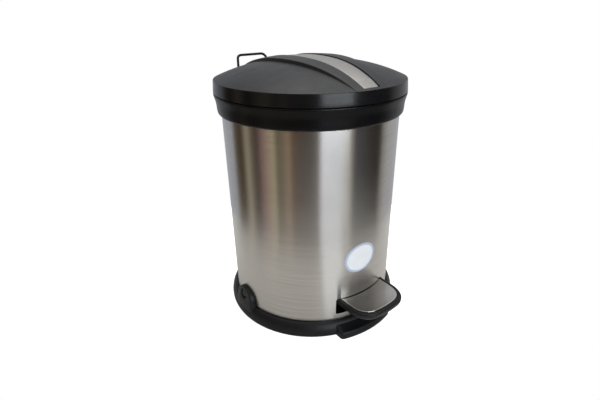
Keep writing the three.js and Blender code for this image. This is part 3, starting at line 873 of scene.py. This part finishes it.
def build_lug(side, name):
    """Round-topped lug over the axle's end, leaning in towards its top, with a round recess."""
    crown, crown_z, drop, flare = 15.5, 20.0, 13.0, 3.5
    hole_r, root_r, face_r, lean = 5.7, 91.2, 97.4, 0.115
    outline, hole = [], []
    for a in circle(72):
        c, s = math.cos(a - math.pi / 2), math.sin(a - math.pi / 2)
        if s >= 0:
            outline.append((crown * c, crown_z + crown * s))
        else:
            reach = abs(s) ** 0.8
            y = math.copysign(crown + flare * reach, c) * abs(c) ** 0.35
            outline.append((y, crown_z - drop * reach))
        hole.append((hole_r * c, AXLE_Z + hole_r * s))
    # share of the way from the outline to the hole, and height off the leaning face (None: the root)
    rows = [
        (0.0, None), (0.0, -2.4), (0.02, -1.2), (0.06, -0.45), (0.13, -0.1), (0.22, 0.0), (0.4, 0.0),
        (0.7, -0.05), (0.88, -0.1), (0.96, -0.3), (1.0, -0.8),
    ]
    loops = []
    for f, off in rows:
        row = []
        for (y0, z0), (y1, z1) in zip(outline, hole):
            y, z = y0 + (y1 - y0) * f, z0 + (z1 - z0) * f
            if off is None:
                x = math.sqrt(root_r ** 2 - y * y)
            else:
                x = math.sqrt((face_r - lean * max(z - 13, 0)) ** 2 - y * y) + off
            row.append((side * x, y, z))
        loops.append(row)
    for x, share in ((93.6, 1.0), (93.2, 0.95), (93.1, 0.5)):
        loops.append([(side * x, y * share, AXLE_Z + (z - AXLE_Z) * share) for y, z in hole])
    bm = bmesh.new()
    skin(bm, loops)
    finish_mesh("axle_lug_" + name, bm, BASE_BLACK.mat, "stand")


# ---------------------------------------------------------------- pedal


def pedal_outline(inset, rear=-84.0):
    """Plan outline of the pedal: nearly straight sides, round corners and a slightly bowed front."""
    w = PEDAL_HALF - inset
    front = inset - PEDAL_REACH
    pts = [(w - 0.5 * k / 8, rear + (PEDAL_NECK_Y - rear) * k / 8) for k in range(8)]
    corner = ((w - 0.5, PEDAL_NECK_Y), (w - 1.2, -116), (w - 8, front + 1.8), (w - 17, front + 0.8))
    pts += [tuple(bezier(*corner, k / 16)) for k in range(16)]
    for k in range(9):
        share = 1 - k / 8
        pts.append(((w - 17) * share, front + 0.8 * share * share))
    return pts + [(-x, y) for x, y in reversed(pts[:-1])]


def pedal_under(y, z):
    """The underside rises to the neck that passes through the slot."""
    return max(z, z + (PEDAL_NECK_Z - z) * smooth((y - PEDAL_NECK_Y) / 7.0))


def build_pedal():
    """Moulded tray, the tail of its neck, and the steel plate that lies in the tray."""
    profile = [
        (12.0, 39.6), (6.0, 39.6), (4.05, 39.6), (4.0, 39.8), (4.0, 40.75), (3.85, 40.95), (3.5, 41.05),
        (1.5, 41.1), (0.6, 40.9), (0.12, 40.35), (0.0, 39.6), (0.15, 37.6), (0.6, 35.8), (1.5, 34.2),
        (2.8, 33.1), (4.6, 32.6), (9.0, 32.5), (16.0, 32.5),
    ]
    deepest_inset, wall_foot = 6.0, 38
    loops = []
    for inset, z in profile:
        row = []
        for x, y in pedal_outline(min(inset, deepest_inset)):
            if inset > deepest_inset:
                f = (inset - deepest_inset) / 12.0
                x *= 1 - f
                if y < PEDAL_NECK_Y:
                    y += (PEDAL_NECK_Y - y) * f
            row.append((x, y, pedal_under(y, z) if z < wall_foot else z))
        loops.append(row)
    tray = bmesh.new()
    skin(tray, loops, caps=(True, True))
    turn_about_axis(tray, PEDAL_TURN)
    finish_mesh("pedal_tray", tray, PEDAL_BLACK.mat, "pedal", ["pedal_housing"])
    tail = bmesh.new()
    rounded_box(tail, (-20, -86, PEDAL_NECK_Z), (20, -62, PEDAL_TOP), 1.2)
    finish_mesh("pedal_tail", tail, PEDAL_BLACK.mat, "pedal")

    plate = bmesh.new()
    loops = []
    for inset, z in ((4.5, 40.0), (4.3, 40.15), (4.3, 41.05), (4.42, 41.25), (4.75, 41.3), (6.5, 41.12)):
        loops.append([(x, y, z) for x, y in pedal_outline(inset, -84.4)])
    edge = pedal_outline(6.5, -84.4)
    for f, z in ((0.15, 40.95), (0.35, 40.8), (0.6, 40.7), (0.85, 40.66), (0.97, 40.65)):
        loops.append([(x * (1 - f), y + (-102 - y) * f, z) for x, y in edge])
    skin(plate, loops, caps=(True, True))
    turn_about_axis(plate, PEDAL_TURN)
    finish_mesh("pedal_tread", plate, PEDAL_STEEL.mat, "pedal", ["pedal_plate"])


# ---------------------------------------------------------------- inner bucket


def build_bucket():
    """Tapered tub with a rolled rim and a raised middle to its floor."""
    floor = BUCKET_FLOOR
    outline = [
        (0, floor + 1.2), (60, floor + 1.2), (62, floor), (67.5, floor), (70.6, floor + 1.4),
        (71.6, floor + 3.6), (76.0, 133), (81.6, 241.2), (81.7, 243.0), (82.2, 243.4), (84.3, 243.4),
        (84.85, 243.8), (84.9, 244.4), (84.4, 244.8), (83.2, 244.92), (81.0, 244.88), (80.3, 244.4),
        (80.05, 243.4), (74.5, 133), (70.1, floor + 5.2), (68.9, floor + 3.2), (66.5, floor + 2.5),
        (0, floor + 2.5),
    ]
    bm = bmesh.new()
    lathe(bm, outline, 192, closed=False)
    finish_mesh("bucket_tub", bm, BUCKET_GREY.mat, "bucket", ["inner_bucket"])
    for side, name in SIDES:
        build_bucket_ear(name, 80.1 if side > 0 else -82.4)


def build_bucket_ear(name, low):
    """Round-topped ear for the bail, 2.3 mm thick from x = low."""
    middle_z = 246.5
    outline = []
    for k in range(21):
        a = math.pi * k / 20
        outline.append((4.4 * math.cos(a), BAIL_Z + 3.5 * math.sin(a)))
    outline += [(-5.2, 244.6), (5.2, 244.6)]
    loops = []
    for inset, depth in ((0.3, 0.0), (0.0, 0.3), (0.0, 2.0), (0.3, 2.3)):
        share = 1 - inset / 5
        loops.append([(low + depth, y * share, middle_z + (z - middle_z) * share) for y, z in outline])
    bm = bmesh.new()
    skin(bm, loops, caps=(True, True))
    finish_mesh("bucket_ear_" + name, bm, BUCKET_GREY.mat, "bucket")


def build_bail():
    """Wire bail lying round the front of the rim, its ends turned in through the ears."""
    reach = 85.4
    end = [(78.6, 0), (reach - 1.6, 0), (reach - 0.5, -0.5), (reach - 0.05, -1.6)]
    gap = math.asin(3 / reach)
    path = [(-x, y) for x, y in end]
    for k in range(121):
        a = math.pi + gap + (math.pi - 2 * gap) * k / 120
        path.append((reach * math.cos(a), reach * math.sin(a)))
    path = [Vector((x, y, BAIL_Z)) for x, y in path + end[::-1]]
    swept("bail_wire", path, 1.25, BARE_WIRE.mat, "bail", ["bucket_bail"])


# ---------------------------------------------------------------- carried-over CAD nodes


def dress_cad():
    """Gives the CAD nodes that are carried over their materials and a fine softening of the edges."""
    looks = dict.fromkeys(("bottom_cover", "rod_foot", "lid_hinge_arm"), COVER_BLACK)
    steel = ["axle", "hinge_pin", "pedal_lever", "pedal_rivet_left", "pedal_rivet_right", "push_rod"]
    steel += ["lid_screw_left", "lid_screw_right"] + ["bottom_screw_%d" % k for k in range(1, 5)]
    looks.update(dict.fromkeys(steel, PLAIN_STEEL))
    for name, look in looks.items():
        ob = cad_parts[name]
        if not ob.material_slots:
            ob.data.materials.append(look.mat)
        for s in ob.material_slots:
            s.link = "OBJECT"
            s.material = look.mat
        bevel = ob.modifiers.new("soft_edges", "BEVEL")
        bevel.width = 0.00018
        bevel.segments = 2
        bevel.limit_method = "ANGLE"
        bevel.angle_limit = math.radians(40)
        bevel.harden_normals = False


# ---------------------------------------------------------------- studio


def build_floor():
    """Small round paper floor with a wedge of window light painted into its colour."""
    m = Surface("floor_paper")
    v = m.coords()
    # painted light: a wedge of the paper towards the window is coloured white, a pool of window light
    # painted into the floor
    angle, _ = m.bearing(v)
    off_axis = m.math("ABSOLUTE", m.math("SUBTRACT", angle, math.radians(23)))
    painted_light_wedge = m.remap(off_axis, math.radians(8), math.radians(14), 1.0, 0.0)
    paper = m.mix(m.noise(v, 3.0, 2.0), (0.70, 0.685, 0.655), (0.72, 0.705, 0.675))
    m.color(m.mix(painted_light_wedge, paper, (1.0, 1.0, 1.0)))
    m.set(roughness=0.9, specular=0.1)
    # the paper glows a little where it is seen directly, which keeps its shadows faint
    seen = m.node("ShaderNodeLightPath").outputs["Is Camera Ray"]
    m.link(seen, m.bsdf.inputs["Emission Strength"])
    m.bsdf.inputs["Emission Color"].default_value = (0.86, 0.86, 0.86, 1)
    bm = bmesh.new()
    loops = [[(r * math.cos(a), r * math.sin(a), -0.2) for a in circle(64)] for r in (120, 180, 230, 270)]
    skin(bm, loops, caps=(True, False))
    me = bpy.data.meshes.new("floor")
    bm.to_mesh(me)
    bm.free()
    floor = bpy.data.objects.new("floor", me)
    bpy.context.scene.collection.objects.link(floor)
    me.materials.append(m.mat)


def soft_box(name, azimuth, elevation, distance, size, power, color):
    """Light seen from the bin at an angle right of the camera, aimed at the bin's middle."""
    light = bpy.data.lights.new(name, "AREA")
    light.shape = "RECTANGLE"
    light.size, light.size_y = size
    light.energy = power
    light.color = color
    ob = bpy.data.objects.new(name, light)
    bpy.context.scene.collection.objects.link(ob)
    a = math.radians(azimuth) - FRONT_TURN
    e = math.radians(elevation)
    at = Vector((math.sin(a) * math.cos(e), -math.cos(a) * math.cos(e), math.sin(e))) * distance
    ob.location = at + Vector((0, 0, 0.14))
    ob.rotation_euler = (-at).to_track_quat("-Z", "Y").to_euler()


def build_lights():
    soft_box("window", 30, 12, distance=1.9, size=(1.2, 1.1), power=20, color=(0.88, 0.94, 1.0))
    soft_box("overhead", 150, 80, distance=2.2, size=(2.2, 2.0), power=29, color=(1.0, 0.99, 0.97))


def build_world():
    """White where it is seen directly; otherwise a room of window, wall and furniture tones."""
    world = bpy.data.worlds.new("studio")
    bpy.context.scene.world = world
    world.use_nodes = True
    world.node_tree.nodes.clear()
    w = Nodes(world.node_tree)
    out = w.node("ShaderNodeOutputWorld")
    room = w.node("ShaderNodeBackground")
    white = w.node("ShaderNodeBackground")
    white.inputs["Color"].default_value = (1, 1, 1, 1)
    choice = w.node("ShaderNodeMixShader")
    w.link(w.node("ShaderNodeLightPath").outputs["Is Camera Ray"], choice.inputs[0])
    w.link(room.outputs[0], choice.inputs[1])
    w.link(white.outputs[0], choice.inputs[2])
    w.link(choice.outputs[0], out.inputs[0])
    for background in (room, white):
        background.inputs["Strength"].default_value = 1.0

    angle, height = w.bearing(w.node("ShaderNodeTexCoord").outputs["Generated"])
    # tones round the horizon, by degrees to the right of the camera
    stops = [
        (-180, (0.50, 0.52, 0.56)), (-122, (0.46, 0.48, 0.53)), (-110, (0.10, 0.07, 0.04)),
        (-99, (0.06, 0.035, 0.015)), (-88, (0.42, 0.38, 0.28)), (-80, (0.12, 0.09, 0.06)),
        (-72, (0.03, 0.012, 0.008)), (-64, (0.28, 0.16, 0.15)), (-56, (0.40, 0.30, 0.22)),
        (-49, (0.48, 0.42, 0.27)), (-42, (0.12, 0.10, 0.05)), (-35, (0.20, 0.15, 0.09)),
        (-29, (0.32, 0.22, 0.13)), (-21, (0.10, 0.055, 0.03)), (-11, (0.07, 0.045, 0.035)),
        (0, (0.08, 0.065, 0.055)), (8, (0.14, 0.13, 0.12)), (13, (0.64, 0.66, 0.73)),
        (38, (0.52, 0.55, 0.60)), (46, (0.38, 0.36, 0.32)), (52, (0.34, 0.31, 0.27)),
        (58, (0.05, 0.05, 0.06)), (98, (0.02, 0.015, 0.01)), (106, (0.36, 0.34, 0.32)),
        (118, (0.52, 0.52, 0.54)), (180, (0.50, 0.52, 0.56)),
    ]
    ramp = w.node("ShaderNodeValToRGB")
    ramp.color_ramp.interpolation = "EASE"
    elements = ramp.color_ramp.elements
    for i, (degrees, color) in enumerate(stops):
        position = (degrees + 180) / 360
        element = elements[i] if i < 2 else elements.new(position)
        element.position = position
        element.color = (*color, 1)
    w.link(w.remap(angle, -math.pi, math.pi, 0.0, 1.0), ramp.inputs[0])
    # the table's pale cloth seen in the steel's lower half, fading out with distance
    cloth_low, cloth_high = math.sin(math.radians(-44)), math.sin(math.radians(-25))
    beyond_cloth = w.remap(height, cloth_low, cloth_high, 0.25, 1.0, "SMOOTHSTEP")
    lower = w.mix(beyond_cloth, (0.62, 0.60, 0.565), ramp.outputs[0])
    # pale ceiling
    ceiling = w.remap(height, 0.45, 0.85, 0.0, 1.0)
    w.link(w.mix(ceiling, lower, (0.78, 0.79, 0.80)), room.inputs["Color"])


def build_camera():
    data = bpy.data.cameras.new("camera")
    data.sensor_width = 36.0
    data.lens = LENS
    data.shift_x, data.shift_y = LENS_SHIFT
    data.clip_start = 0.01
    data.clip_end = 50
    camera = bpy.data.objects.new("camera", data)
    bpy.context.scene.collection.objects.link(camera)
    at = (-CAMERA_REACH * math.sin(FRONT_TURN), -CAMERA_REACH * math.cos(FRONT_TURN), CAMERA_HEIGHT)
    turn = Matrix.Rotation(-FRONT_TURN, 4, "Z") @ Matrix.Rotation(math.pi / 2 - CAMERA_PITCH, 4, "X")
    camera.matrix_world = Matrix.Translation(at) @ turn @ Matrix.Rotation(CAMERA_ROLL, 4, "Z")
    bpy.context.scene.camera = camera


build_camera()
build_lid()
build_strip()
build_collar()
build_handle()
build_body()
build_label()
build_base()
build_caps()
build_pedal()
build_bucket()
build_bail()
dress_cad()
build_floor()
build_lights()
build_world()

scene = bpy.context.scene
scene.view_settings.view_transform = "Standard"
scene.view_settings.look = "None"
scene.view_settings.exposure = 0.0
